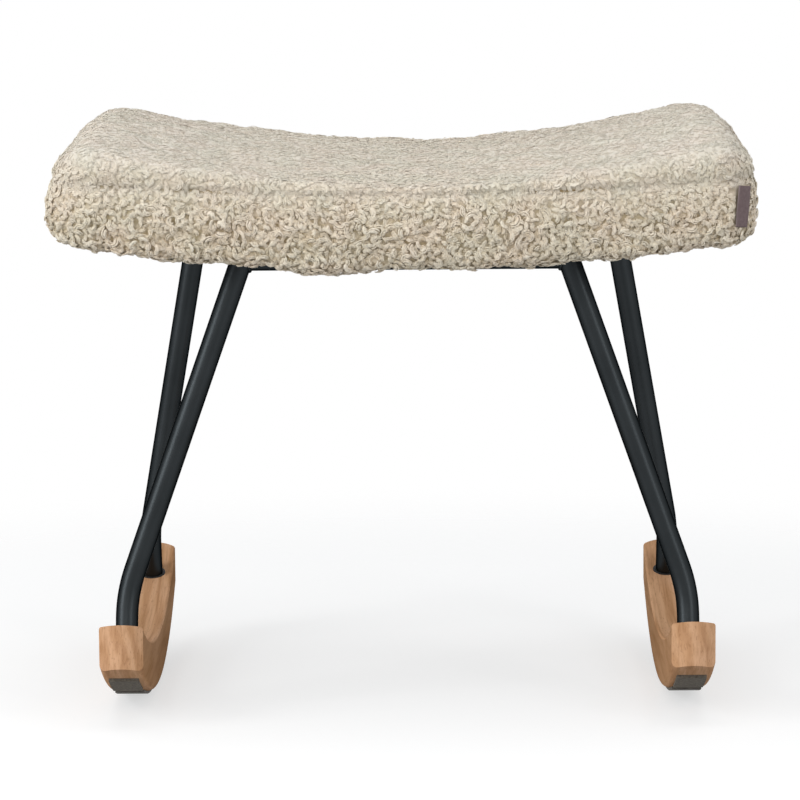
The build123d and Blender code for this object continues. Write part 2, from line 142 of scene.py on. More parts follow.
TUBE_WALL = 1.5 * MM
BEAD_RADIUS = 1.7 * MM  # weld beads
RIM_REACH = 0.4 * MM  # how near to a plate or an end a point of the rim lies

# ---- Cloth under the board ---------------------------------------------------------------------

CLOTH_THICKNESS = 0.8 * MM
CLOTH_DROP = 1.1 * MM  # from the board down to the cloth's lower face, where it lies flat
CLOTH_SAG = 2.6 * MM
CLOTH_SLACK_REACH = 60 * MM  # from a held edge to where the cloth is fully slack
CLOTH_CORNER = 19 * MM
PLATE_MARGIN = 4 * MM  # round each plate, where the cloth still lies flat
STAPLE_INSET = 6 * MM
STAPLE_WIRE = 0.7 * MM
STAPLE_SIZE = (10 * MM, 1.2 * MM, STAPLE_WIRE)
STAPLE_ROUNDING = 0.15 * MM
STAPLE_SKEW = 0.16  # radians
STAPLES_ALONG = 13  # on each long edge
STAPLES_ACROSS = 8  # on each short edge

# ---- Stage -------------------------------------------------------------------------------------

FLOOR_RADIUS = 3.0
FLOOR_FADE = (0.55, 1.15)  # the floor fades into the white background between these distances
FLOOR_PAINT = (0.48, 0.48, 0.48)
FLOOR_GLOW = 0.58  # what the camera sees on top of the paint
WORLD_LIGHT = 0.45


def linked(name, data):
    obj = bpy.data.objects.new(name, data)
    bpy.context.scene.collection.objects.link(obj)
    return obj


def object_of(name, made, smooth=True):
    """An object of what was made in bmesh."""
    mesh = bpy.data.meshes.new(name)
    made.to_mesh(mesh)
    made.free()
    if smooth:
        mesh.shade_smooth()
    return linked(name, mesh)


def add_quads(made, grid, up):
    """Faces between the rows of a grid of vertices."""
    for near, far in zip(grid, grid[1:]):
        for column in range(len(near) - 1):
            corners = [near[column], near[column + 1], far[column + 1], far[column]]
            made.faces.new(corners if up else corners[::-1])


def seat_matrix():
    """From the seat's frame to the stool's."""
    return Matrix.Translation((0, 0, SEAT_HEIGHT)) @ Matrix.Rotation(SEAT_TILT, 4, "X")


def arc_rise(x, radius):
    return radius - np.sqrt(radius**2 - x**2)


def points_of(mesh, key="co"):
    """The vertices' places, or with the key "normal" their normals."""
    found = np.empty(len(mesh.vertices) * 3, np.float32)
    mesh.vertices.foreach_get(key, found)
    return found.reshape(-1, 3).astype(float)


def set_points(mesh, points):
    mesh.vertices.foreach_set("co", points.astype(np.float32).ravel())
    mesh.update()


def set_values(mesh, key, values):
    layer = mesh.attributes.new(key, "FLOAT", "POINT")
    layer.data.foreach_set("value", values.astype(np.float32))


def values_of(mesh, key):
    found = np.empty(len(mesh.vertices), np.float32)
    mesh.attributes[key].data.foreach_get("value", found)
    return found.astype(float)


def unit(rows):
    return rows / np.linalg.norm(rows, axis=1)[:, None]


def bell(distance, width):
    return np.exp(-((distance / width) ** 2))


def moved_by(points, matrix):
    m = np.array(matrix)
    return points @ m[:3, :3].T + m[:3, 3]


# ---- Materials ---------------------------------------------------------------------------------


class Nodes:
    """A material with a Principled shader, and short calls to add nodes to it."""

    def __init__(self, name, base, roughness, metallic=0.0):
        self.material = bpy.data.materials.new(name)
        self.material.use_nodes = True
        self.tree = self.material.node_tree
        self.shader = self.tree.nodes["Principled BSDF"]
        self.shader.inputs["Base Color"].default_value = (*base, 1)
        self.shader.inputs["Roughness"].default_value = roughness
        self.shader.inputs["Metallic"].default_value = metallic

    def add(self, kind, **values):
        node = self.tree.nodes.new("ShaderNode" + kind)
        for key, value in values.items():
            if hasattr(node, key) and key not in node.inputs:
                setattr(node, key, value)
            else:
                node.inputs[key].default_value = value
        return node

    def join(self, out, into):
        self.tree.links.new(out, into)

    def noise(self, vector, scale, detail=3.0, roughness=0.5, distortion=0.0):
        node = self.add("TexNoise", Scale=scale, Detail=detail, Roughness=roughness, Distortion=distortion)
        self.join(vector, node.inputs["Vector"])
        return node.outputs["Fac"]

    def ramp(self, value, *stops):
        """A colour ramp. A stop's colour may be one number, for a grey."""
        node = self.add("ValToRGB")
        self.join(value, node.inputs["Fac"])
        elements = node.color_ramp.elements
        while len(elements) < len(stops):
            elements.new(0.5)
        for element, (place, colour) in zip(elements, stops):
            element.position = place
            element.color = (*(colour if isinstance(colour, tuple) else [colour] * 3), 1)
        return node.outputs["Color"]

    def mapped(self, scale=(1, 1, 1), rotation=(0, 0, 0)):
        place = self.add("TexCoord")
        node = self.add("Mapping", Scale=scale, Rotation=rotation)
        self.join(place.outputs["Object"], node.inputs["Vector"])
        return node.outputs["Vector"]

    def mix(self, share, first, second, blend="MIX"):
        node = self.add("Mix", data_type="RGBA", blend_type=blend)
        for value, index in ((share, 0), (first, 6), (second, 7)):
            if isinstance(value, bpy.types.NodeSocket):
                self.join(value, node.inputs[index])
            elif isinstance(value, tuple):
                node.inputs[index].default_value = (*value, 1)
            else:
                node.inputs[index].default_value = value
        return node.outputs[2]

    def math(self, operation, first, second=0.0):
        node = self.add("Math", operation=operation)
        for value, index in ((first, 0), (second, 1)):
            if isinstance(value, bpy.types.NodeSocket):
                self.join(value, node.inputs[index])
            else:
                node.inputs[index].default_value = value
        return node.outputs[0]

    def bump(self, height, strength, distance):
        node = self.add("Bump", Strength=strength, Distance=distance)
        self.join(height, node.inputs["Height"])
        self.join(node.outputs["Normal"], self.shader.inputs["Normal"])

    def colour(self, out):
        self.join(out, self.shader.inputs["Base Color"])

    def attribute(self, name):
        return self.add("Attribute", attribute_name=name).outputs["Fac"]


def steel():
    made = Nodes("black_powder_coat", (0.027, 0.030, 0.032), 0.38, 1.0)
    made.shader.inputs["Specular Tint"].default_value = (0.1, 0.1, 0.1, 1)
    place = made.mapped()
    fine = made.noise(place, 900, 2)
    tone = made.noise(place, 30, 4)
    made.colour(made.ramp(tone, (0.3, (0.024, 0.0275, 0.0295)), (0.7, (0.029, 0.033, 0.0355))))
    rough = made.ramp(tone, (0.2, 0.35), (0.8, 0.41))
    made.join(rough, made.shader.inputs["Roughness"])
    made.bump(fine, 0.12, 0.0002)
    return made.material


def beech():
    """Beech: rings that run along the rocker and cross its ends aslant, the flecks of its rays, and
    painted shade on its sides.
    """
    made = Nodes("beech", (0.6, 0.34, 0.19), 0.6)
    made.shader.inputs["Specular IOR Level"].default_value = 0.0
    aslant = (0.0, 0.62, 0.0)
    wave = made.add("TexWave", bands_direction="X", Scale=24.0, Distortion=11.0, Detail=4.0)
    wave.inputs["Detail Scale"].default_value = 0.9
    wave.inputs["Detail Roughness"].default_value = 0.62
    made.join(made.mapped((1, 0.07, 0.3), aslant), wave.inputs["Vector"])
    dark_ring, ring, between = (0.53, 0.29, 0.15), (0.615, 0.35, 0.19), (0.68, 0.405, 0.235)
    tone = made.ramp(wave.outputs["Fac"], (0.0, dark_ring), (0.35, ring), (0.9, between))
    wide = made.noise(made.mapped((1, 0.3, 1)), 26, 3)
    pink = made.ramp(wide, (0.4, 0.0), (0.7, 0.45))
    tone = made.mix(pink, tone, (0.71, 0.43, 0.28))
    # painted shade: the faces turned sideways (along X) are mixed towards a darker brown
    facing = made.add("SeparateXYZ")
    made.join(made.add("TexCoord").outputs["Normal"], facing.inputs["Vector"])
    side = made.math("ABSOLUTE", facing.outputs["X"])
    side_shade = made.ramp(side, (0.75, 0.0), (0.97, 0.6))
    tone = made.mix(side_shade, tone, (0.40, 0.225, 0.115))
    streaks = made.noise(made.mapped((520, 8, 90), aslant), 1.0, 4, 0.62)
    dark = made.ramp(streaks, (0.3, (0.80, 0.76, 0.71)), (0.56, 1.0))
    tone = made.mix(1.0, tone, dark, "MULTIPLY")
    flecks = made.noise(made.mapped((1000, 100, 320), aslant), 1.0, 1, 0.4)
    flecks = made.ramp(flecks, (0.30, 1.0), (0.36, 0.0))
    made.colour(made.mix(made.math("MULTIPLY", flecks, 0.4), tone, (0.33, 0.165, 0.08)))
    made.bump(streaks, 0.1, 0.0004)
    return made.material


def felt():
    made = Nodes("felt", (0.13, 0.115, 0.1), 0.95)
    place = made.mapped()
    tone = made.noise(place, 420, 5, 0.7)
    made.colour(made.ramp(tone, (0.3, (0.052, 0.045, 0.036)), (0.7, (0.18, 0.158, 0.126))))
    made.bump(made.noise(place, 700, 4, 0.7), 0.6, 0.0006)
    return made.material


def strip_rubber():
    made = Nodes("strip_rubber", (0.10, 0.10, 0.10), 0.8)
    place = made.mapped()
    tone = made.noise(place, 300, 3)
    made.colour(made.ramp(tone, (0.3, (0.072, 0.067, 0.058)), (0.7, (0.125, 0.117, 0.102))))
    made.bump(made.noise(place, 500, 2), 0.4, 0.0004)
    return made.material


# painted shade: the near-black rings in the leg sockets stand where the bore's shadow falls
def socket_shade_black():
    made = Nodes("socket_shade_black", (0.01, 0.01, 0.01), 0.7)
    tone = made.noise(made.mapped(), 300, 3)
    made.colour(made.ramp(tone, (0.3, 0.007), (0.7, 0.015)))
    return made.material


def zinc():
    made = Nodes("zinc", (0.55, 0.55, 0.53), 0.35, 1.0)
    tone = made.noise(made.mapped(), 260, 3)
    made.colour(made.ramp(tone, (0.3, (0.47, 0.47, 0.46)), (0.7, (0.62, 0.62, 0.60))))
    return made.material


def plywood():
    made = Nodes("plywood", (0.6, 0.45, 0.28), 0.7)
    layers = made.noise(made.mapped((3, 3, 420)), 1.0, 3)
    made.colour(made.ramp(layers, (0.35, (0.42, 0.28, 0.16)), (0.65, (0.68, 0.52, 0.34))))
    return made.material


def dust_fabric():
    made = Nodes("dust_fabric", (0.02, 0.02, 0.02), 0.9)
    place = made.mapped()
    tone = made.noise(place, 500, 4, 0.7)
    made.colour(made.ramp(tone, (0.35, 0.014), (0.7, 0.04)))
    made.bump(made.noise(place, 650, 3), 0.5, 0.0003)
    return made.material


def downy(made):
    """The faint warm sheen of loose fibres."""
    made.shader.inputs["Sheen Weight"].default_value = 0.3
    made.shader.inputs["Sheen Roughness"].default_value = 0.5
    made.shader.inputs["Sheen Tint"].default_value = (1.0, 0.96, 0.9, 1)


def cast(made, colour):
    """The colour with the slow, faint pink and green cast of the real fleece."""
    slow = made.noise(made.mapped(), 34, 2)
    tinge = made.ramp(slow, (0.36, (1.03, 0.99, 0.965)), (0.64, (0.995, 1.0, 0.97)))
    return made.mix(1.0, colour, tinge, "MULTIPLY")


def skin_fabric():
    """The matted backing: pale where the pile is pressed; painted shade darkens it to olive between the
    tufts and to ochre in the seam's crease.
    """
    made = Nodes("curly_backing", (0.66, 0.56, 0.41), 0.95)
    matted = made.noise(made.mapped(), 300, 4, 0.65, 1.6)
    # painted shade: dark olive in the crevices between the tufts, where the dome is low, mixed in where
    # the pile stands high
    crevice_shade = made.ramp(made.attribute("dome"), (0.1, (0.44, 0.355, 0.22)), (0.8, (0.66, 0.575, 0.45)))
    dark, middle, pale = (0.66, 0.60, 0.50), (0.74, 0.69, 0.61), (0.79, 0.75, 0.68)
    flat = made.ramp(matted, (0.32, dark), (0.5, middle), (0.68, pale))
    raised = made.ramp(made.attribute("loft"), (TOP_LOFT, 0.0), (0.6, 1.0))
    tone = made.mix(raised, flat, crevice_shade)
    # painted shade: dark ochre along the seam's crease
    crease_shade = made.ramp(made.attribute("crease"), (0.35, 0.0), (0.85, 1.0))
    made.colour(cast(made, made.mix(crease_shade, tone, (0.36, 0.275, 0.14))))
    made.bump(matted, 0.8, 0.0012)
    downy(made)
    return made.material


def curl_fabric():
    """Curls: painted shade makes them darker at the root and deeper in the crevices, pale at the top, with
    strands running along each one.
    """
    made = Nodes("curly_pile", (0.76, 0.71, 0.61), 0.92)
    lift = made.attribute("lift")
    tint = made.attribute("tint")
    # painted shade: from the dark root colour low on a curl and in a crevice to the pale tip colour; where
    # the pile is pressed, greyer colours with a gentler painted shade
    root, middle, tip = (0.62, 0.51, 0.345), (0.82, 0.75, 0.635), (0.90, 0.85, 0.75)
    raised = made.ramp(lift, (0.05, root), (0.5, middle), (0.95, tip))
    pressed = made.ramp(lift, (0.1, (0.72, 0.67, 0.585)), (0.9, (0.785, 0.745, 0.675)))
    full = made.ramp(made.attribute("loft"), (0.12, 0.0), (0.48, 1.0))
    tone = made.mix(full, pressed, raised)
    tone = made.mix(made.math("MULTIPLY", tint, 0.12), tone, (0.60, 0.50, 0.36))
    place = made.add("Mapping", Scale=(1.2, 1.2, 0.9))
    made.join(made.add("Attribute", attribute_name="strand").outputs["Vector"], place.inputs["Vector"])
    apart = made.add("CombineXYZ")
    made.join(made.math("MULTIPLY", made.attribute("shape"), 40.0), apart.inputs["Z"])
    strands = made.add("VectorMath", operation="ADD")
    made.join(place.outputs["Vector"], strands.inputs[0])
    made.join(apart.outputs["Vector"], strands.inputs[1])
    fibre = made.noise(strands.outputs["Vector"], 1.0, 3, 0.6)
    shade = made.ramp(fibre, (0.36, (0.88, 0.845, 0.78)), (0.56, 1.0))
    made.colour(cast(made, made.mix(1.0, tone, shade, "MULTIPLY")))
    made.bump(fibre, 0.5, 0.0003)
    downy(made)
    return made.material


# ---- The cushion's skin ------------------------------------------------------------------------


def swell(points, normals):
    """Slow lumps in the padding, in metres along the normal."""
    lumps = [sum(share * noise.noise(Vector(p) * scale) for share, scale in LUMP_WAVES) for p in points]
    end = np.clip((-points[:, 0] - END_SWELL_FROM) / END_SWELL_GROWS, 0, 1)
    low = bell(points[:, 2] - END_SWELL_HEIGHT, END_SWELL_SPREAD)
    rise = np.array(lumps) * LUMPS + end * low * END_SWELL * np.clip(-normals[:, 0], 0, 1)
    front = np.clip(-points[:, 1] / LOW_BULGE_GROWS - 2, 0, 1)
    bulge = bell(points[:, 0] - LOW_BULGE_PLACE, LOW_BULGE_WIDTH) * np.clip(-normals[:, 2], 0, 1)
    hollow = bell(points[:, 0] - TOP_HOLLOW_PLACE, TOP_HOLLOW_WIDTH) * np.clip(normals[:, 2], 0, 1)
    return rise + bulge * front * LOW_BULGE - hollow * TOP_HOLLOW


def seam_distance(local):
    """Height over the seam, in the seat's frame."""
    return local[:, 2] - SEAM_HEIGHT - arc_rise(local[:, 0], SEAM_RADIUS)


def clumps(points):
    """Domes of the tufts: 1 at the middle of each, 0 in the crevices between them."""
    found = []
    for p in points:
        near, _ = noise.voronoi(Vector(p) / CLUMP_SIZE)
        found.append(min(1.0, 1.6 * (near[1] - near[0])))
    return np.array(found) ** 0.6


def cushion_skin():
    """The closed surface that the curls stand on, in the seat's frame."""
    made = bmesh.new()
    for name in ("cover_top_panel", "cover_side_band", "seat_foam", "seat_board", "dust_cloth"):
        made.from_mesh(frame["nodes"][name].data)
    obj = object_of("cushion_backing", made, smooth=False)
    remesh = obj.modifiers.new("close", "REMESH")
    remesh.mode = "VOXEL"
    remesh.voxel_size = SKIN_VOXEL
    smooth = obj.modifiers.new("even", "SMOOTH")
    smooth.iterations = 3
    bpy.context.view_layer.update()
    depsgraph = bpy.context.evaluated_depsgraph_get()
    closed = bpy.data.meshes.new_from_object(obj.evaluated_get(depsgraph))
    obj.modifiers.clear()
    obj.data = closed
    keep_outer_shell(closed)
    to_seat = seat_matrix().inverted()
    points = moved_by(points_of(closed), to_seat)
    normals = points_of(closed, "normal") @ np.array(to_seat)[:3, :3].T
    loft = pile_loft(points, normals)
    dome = clumps(points)
    low, high = SKIN_INSET
    inset = low + (high - low) * loft
    side = np.clip(1 - np.abs(normals[:, 2]) * 1.2, 0, 1)
    # the seam's crease: pressed in here, and darkened with painted shade in the backing's material
    crease = bell(seam_distance(points), SEAM_WIDTH) * side
    broken = [noise.noise(Vector((x * SEAM_BREAKS, y * SEAM_BREAKS, 0.0))) for x, y, _ in points]
    crease = crease * np.clip(0.75 + 1.4 * np.array(broken), 0.25, 1)
    rise = swell(points, normals) - inset + (dome - 0.5) * CLUMP_HEIGHT * loft - crease * SEAM_DEPTH
    set_points(closed, points + normals * rise[:, None])
    for key, values in (("loft", loft), ("dome", dome), ("crease", crease)):
        set_values(closed, key, values)
    return obj


def tuck_in(mesh):
    """Lifts the skin's underside into the board, clear of the cloth that covers it."""
    points = points_of(mesh)
    inside = arc_rise(points[:, 0], BOARD_RADIUS) + SKIN_LIFT
    past = np.maximum(np.abs(points[:, :2]) - np.array(hem_opening()) + CLOTH_CORNER, 0)
    covered = (np.hypot(past[:, 0], past[:, 1]) < CLOTH_CORNER) & (points[:, 2] < inside)
    points[covered, 2] = inside[covered]
    set_points(mesh, points)


def hem_opening():
    """Half the width and depth of the opening inside the hem, which the cloth closes."""
    return [half - COVER_THICKNESS - HEM_WIDTH for half in (CUSHION_HALF_WIDTH, CUSHION_HALF_DEPTH)]


def pile_loft(places, facing):
    """How high the pile stands: full low on the band, pressed on the top and beside the seam."""
    above = seam_distance(places)
    band = np.clip(SEAM_LOFT - above / LOFT_GROWS, 0, BAND_LOFT)
    facing_out = np.clip(1.5 - 1.6 * np.abs(facing[:, 2]), 0, 1)
    rise = np.clip(1.35 - above / LOFT_FALLS, 0, 1) * (0.35 + 0.65 * facing_out)
    top = TOP_LOFT + (SEAM_LOFT - TOP_LOFT) * rise
    beside = bell(above, SEAM_PRESS) * facing_out
    return np.clip(np.where(above > 0, top, band) * (1 - 0.35 * beside), TOP_LOFT, 1)


def keep_outer_shell(mesh):
    """Deletes the loose shells inside the largest one."""
    made = bmesh.new()
    made.from_mesh(mesh)
    left = set(made.verts)
    shells = []
    while left:
        first = left.pop()
        shell = [first]
        queue = [first]
        while queue:
            vert = queue.pop()
            for edge in vert.link_edges:
                other = edge.other_vert(vert)
                if other in left:
                    left.remove(other)
                    shell.append(other)
                    queue.append(other)
        shells.append(shell)
    shells.sort(key=len)
    for shell in shells[:-1]:
        bmesh.ops.delete(made, geom=shell, context="VERTS")
    made.to_mesh(mesh)
    made.free()


# ---- Curls -------------------------------------------------------------------------------------


def lock_path(random):
    """A lock's middle line from end to end, in metres, with +Z away from the skin, and the two
    directions across it: in the plane that it curls in, and out of that plane."""
    steps = np.linspace(0, 1, STRAND_RINGS + 2)
    kind = random.random()
    if kind < 0.65:  # a ring or spiral
        turn = random.uniform(0.6, 1.05) * 2 * math.pi
        radius = random.uniform(1.9, 3.0) * MM
        spiral = radius * (1 - random.uniform(0.1, 0.45) * steps)
        climb = random.uniform(-1.0, 1.8) * MM
        x, y, z = spiral * np.cos(turn * steps), spiral * np.sin(turn * steps), climb * steps
        lean = math.radians(random.uniform(0, 42))
    elif kind < 0.92:  # a hook
        turn = random.uniform(0.35, 0.6) * 2 * math.pi
        radius = random.uniform(2.4, 3.8) * MM
        x, y, z = radius * np.cos(turn * steps), radius * np.sin(turn * steps), 0 * steps
        lean = math.radians(random.uniform(5, 50))
    else:  # a wave along the skin
        reach = random.uniform(6.0, 9.0) * MM
        sway = random.uniform(0.8, 1.5) * MM
        x, y = reach * (steps - 0.5), sway * np.sin(2 * math.pi * steps)
        z = 1.2 * MM * np.sin(math.pi * steps)
        lean = math.radians(random.uniform(-25, 25))
    path = np.stack([x, y, z], 1)
    path -= path.mean(0)
    tangent = unit(np.gradient(path, axis=0))
    across = unit(np.cross(tangent, (0, 0, 1)))
    over = np.cross(across, tangent)
    turned = np.array(Euler((lean, 0, random.uniform(0, 2 * math.pi))).to_matrix()).T
    path = path @ turned
    path[:, 2] += random.uniform(0.6, 1.9) * MM
    return path, across @ turned, over @ turned


def lock_template(random):
    """One lock of strands side by side: its points, and where each lies round and along its strand."""
    path, across, over = lock_path(random)
    steps = np.linspace(0, 1, STRAND_RINGS + 2)
    gap = random.uniform(0.8, 1.05) * MM
    points, strand = [], []
    for number in range(STRANDS):
        place = number - (STRANDS - 1) / 2
        sway = 0.25 * np.sin(random.uniform(0, 6) + random.uniform(2, 5) * steps)
        start, end = random.uniform(0, 0.14), random.uniform(0.86, 1)
        along = start + (end - start) * steps
        dome = 0.5 * MM * (1 - abs(place)) + random.uniform(-0.3, 0.3) * MM
        line = path + across * ((place + sway) * gap)[:, None] + over * dome
        line = np.stack([np.interp(along, steps, line[:, axis]) for axis in range(3)], 1)
        thick = random.uniform(0.52, 0.78) * MM
        tube = thick * np.sin(math.pi * (0.06 + 0.88 * steps)) ** 0.5
        tangent = unit(np.gradient(line, axis=0))
        side = np.cross(tangent[0], (0.31, 0.17, 0.93))
        points.append(line[0])
        strand.append((0, 0, number))
        for ring in range(1, STRAND_RINGS + 1):
            side = side - tangent[ring] * (side @ tangent[ring])
            side /= np.linalg.norm(side)
            other = np.cross(tangent[ring], side)
            for corner in range(STRAND_SIDES):
                angle = 2 * math.pi * (corner + 0.5 * (ring % 2)) / STRAND_SIDES
                offset = side * math.cos(angle) + other * math.sin(angle)
                points.append(line[ring] + offset * tube[ring])
                strand.append((math.cos(angle), math.sin(angle), number + 0.9 * steps[ring]))
        points.append(line[-1])
        strand.append((0, 0, number + 0.9))
    return {"points": np.array(points), "strand": np.array(strand)}


def lock_faces():
    """A lock's quads and end triangles, as indices into its points, with their places on its tile."""
    quads, quad_map, ends, end_map = [], [], [], []
    rows = STRAND_RINGS + 1
    each = 2 + STRAND_RINGS * STRAND_SIDES
    for number in range(STRANDS):
        first = number * each
        last = first + each - 1
        for side in range(STRAND_SIDES):
            after = (side + 1) % STRAND_SIDES
            left = (number + 0.02 + 0.96 * side / STRAND_SIDES) / STRANDS
            right = (number + 0.02 + 0.96 * (side + 1) / STRAND_SIDES) / STRANDS
            middle = (left + right) / 2
            for ring in range(STRAND_RINGS - 1):
                near = first + 1 + ring * STRAND_SIDES
                far = near + STRAND_SIDES
                quads.append((near + side, near + after, far + after, far + side))
                low, high = (ring + 1) / rows, (ring + 2) / rows
                quad_map += [(left, low), (right, low), (right, high), (left, high)]
            top = last - STRAND_SIDES
            ends.append((first, first + 1 + after, first + 1 + side))
            end_map += [(middle, 0), (right, 1 / rows), (left, 1 / rows)]
            ends.append((last, top + side, top + after))
            end_map += [(middle, 1), (left, 1 - 1 / rows), (right, 1 - 1 / rows)]
    return np.array(quads), np.array(ends), np.array(quad_map, float), np.array(end_map, float)


def spread_points(mesh, spacing, wanted, random):
    """Points on the wanted part of a mesh, at least about this far apart: the corners of the triangle
    that each lies in, and the corners' shares in it."""
    mesh.calc_loop_triangles()
    corners = np.empty(len(mesh.loop_triangles) * 3, np.int32)
    mesh.loop_triangles.foreach_get("vertices", corners)
    corners = corners.reshape(-1, 3)
    corners = corners[wanted[corners[:, 0]]]
    points = points_of(mesh)
    a, b, c = (points[corners[:, k]] for k in range(3))
    area = np.linalg.norm(np.cross(b - a, c - a), axis=1) / 2
    tries = int(TRIES * area.sum() / spacing**2)
    chosen = random.choice(len(corners), tries, p=area / area.sum())
    u, v = random.random((2, tries))
    over = u + v > 1
    u[over], v[over] = 1 - u[over], 1 - v[over]
    share = np.stack([1 - u - v, u, v], 1)
    places = (points[corners[chosen]] * share[:, :, None]).sum(1)
    cells = {}
    kept = []
    keys = np.floor(places / spacing).astype(int)
    nearby = [(i, j, k) for i in (-1, 0, 1) for j in (-1, 0, 1) for k in (-1, 0, 1)]
    for index in range(tries):
        x, y, z = keys[index]
        place = places[index]
        free = True
        for i, j, k in nearby:
            for other in cells.get((x + i, y + j, z + k), ()):
                gap = places[other] - place
                if gap[0] * gap[0] + gap[1] * gap[1] + gap[2] * gap[2] < spacing * spacing:
                    free = False
                    break
            if not free:
                break
        if free:
            cells.setdefault((x, y, z), []).append(index)
            kept.append(index)
    return corners[chosen][kept], share[kept]


def curl_piece(name, places, facing, loft, dome, templates, material, random, size):
    """One mesh of curls, each a turned and resized copy of a template, flat where loft is low."""
    count = len(places)
    shape = random.integers(0, CURL_SHAPES, count)
    tint = random.integers(0, CURL_TINTS, count)
    raised = (random.random(count) < RAISED_SHARE) * loft
    scale = random.uniform(0.8, 1.1, count) * size * (0.88 + 0.2 * loft + 0.22 * raised)
    spin = random.uniform(0, 2 * math.pi, count)
    side = unit(np.cross(facing, np.array([0.37, 0.53, 0.76])))
    other = np.cross(facing, side)
    first = side * np.cos(spin)[:, None] + other * np.sin(spin)[:, None]
    second = np.cross(facing, first)
    local = np.stack([t["points"] for t in templates])[shape] * scale[:, None, None]
    # painted shade for the curls' colour: low on a curl and low in a tuft's crevice is darker; less so
    # where the pile is pressed
    lift = np.clip(local[:, :, 2] / PALEST, 0, 1) * (0.45 + 0.55 * dome[:, None])
    lift = 1 - (1 - lift) * np.sqrt(loft)[:, None]
    local[:, :, 2] *= 0.08 + 0.92 * loft[:, None]
    local[:, :, 2] += RAISED * raised[:, None]
    points = (
        places[:, None]
        + local[:, :, 0:1] * first[:, None]
        + local[:, :, 1:2] * second[:, None]
        + local[:, :, 2:3] * facing[:, None]
    )
    each = points.shape[1]
    quads, ends, quad_map, end_map = lock_faces()
    start = (np.arange(count) * each)[:, None]
    quad_corners = (start[:, :, None] + quads[None]).reshape(-1)
    end_corners = (start[:, :, None] + ends[None]).reshape(-1)
    mesh = bpy.data.meshes.new(name)
    mesh.vertices.add(count * each)
    mesh.vertices.foreach_set("co", points.astype(np.float32).ravel())
    mesh.loops.add(len(quad_corners) + len(end_corners))
    mesh.loops.foreach_set("vertex_index", np.concatenate([quad_corners, end_corners]).astype(np.int32))
    sizes = np.concatenate([np.full(count * len(quads), 4), np.full(count * len(ends), 3)])
    starts = np.concatenate([[0], np.cumsum(sizes)[:-1]])
    mesh.polygons.add(len(sizes))
    mesh.polygons.foreach_set("loop_start", starts.astype(np.int32))
    mesh.polygons.foreach_set("use_smooth", np.ones(len(sizes), bool))
    mesh.update(calc_edges=True)
    values = {
        "lift": lift.ravel(),
        "loft": np.repeat(loft, each),
        "tint": np.repeat(tint / (CURL_TINTS - 1), each),
        "shape": np.repeat(shape / CURL_SHAPES, each),
    }
    for key, value in values.items():
        set_values(mesh, key, value)
    strand = np.stack([t["strand"] for t in templates])[shape].reshape(-1)
    layer = mesh.attributes.new("strand", "FLOAT_VECTOR", "POINT")
    layer.data.foreach_set("vector", strand.astype(np.float32))
    tile = shape * CURL_TINTS + tint
    corner = np.stack([tile % TILES, tile // TILES], 1)[:, None]
    quad_uv = (corner + 0.04 + 0.92 * quad_map[None]) / TILES
    end_uv = (corner + 0.04 + 0.92 * end_map[None]) / TILES
    layer = mesh.uv_layers.new(name="OFBake")
    uv = np.concatenate([quad_uv.reshape(-1, 2), end_uv.reshape(-1, 2)])
    layer.uv.foreach_set("vector", uv.astype(np.float32).ravel())
    mesh.materials.append(material)
    return linked(name, mesh)


def curly_cover(skin, to_stool):
    """All the curls of the cover, as pieces of at most MOST_CURLS."""
    random = np.random.default_rng(CURL_SEED)
    templates = [lock_template(random) for _ in range(CURL_SHAPES)]
    material = curl_fabric()
    mesh = skin.data
    points, normals = points_of(mesh), points_of(mesh, "normal")
    known = {key: values_of(mesh, key) for key in ("loft", "dome")}
    in_opening = (np.abs(points[:, :2]) < np.array(hem_opening())).all(axis=1)
    open_below = (normals[:, 2] < -0.55) & in_opening
    pieces = []
    for label, wanted, spacing, size in (
        ("top", known["loft"] < PRESSED, TOP_SPACING, TOP_SIZE),
        ("band", (known["loft"] >= PRESSED) & ~open_below, BAND_SPACING, BAND_SIZE),
    ):
        corners, share = spread_points(mesh, spacing, wanted, random)
        places = (points[corners] * share[:, :, None]).sum(1)
        facing = unit((normals[corners] * share[:, :, None]).sum(1))
        on_seam = (np.abs(seam_distance(places)) < SEAM_BARE) & (np.abs(facing[:, 2]) < 0.8)
        on_seam &= random.random(len(places)) < SEAM_BARE_SHARE
        index = np.nonzero(~(on_seam | under_tab(places)))[0]
        index = index[np.argsort(places[index, 0], kind="stable")]
        loft, dome = ((known[key][corners] * share).sum(1) for key in ("loft", "dome"))
        parts = int(np.ceil(len(index) / MOST_CURLS))
        for number, some in enumerate(np.array_split(index, parts), 1):
            piece = curl_piece(
                f"pile_{label}_{number}", places[some], facing[some], loft[some], dome[some],
                templates, material, random, size,
            )
            piece.data.transform(to_stool)
            pieces.append(piece)
    return pieces


# ---- Tab ---------------------------------------------------------------------------------------


def tab_matrix():
    """From the tab's frame, whose +X runs round the corner and +Y into the cushion, to the seat's."""
    low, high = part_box("label_tab")
    middle = seat_matrix().inverted() @ ((low + high) / 2)
    turn = Matrix.Rotation(math.radians(45), 4, "Z") @ Matrix.Rotation(TAB_LEAN, 4, "Y")
    return Matrix.Translation(middle) @ turn @ Matrix.Translation((-TAB_SHIFT, -TAB_PROUD, 0))


def under_tab(places):
    """Which points of the skin the tab lies over."""
    local = np.abs(moved_by(places, tab_matrix().inverted()))
    reach = (TAB_WIDTH / 2 + TAB_CLEAR, 0.5 * TAB_CURVE, TAB_HEIGHT / 2 + TAB_CLEAR)
    return (local < np.array(reach)).all(axis=1)


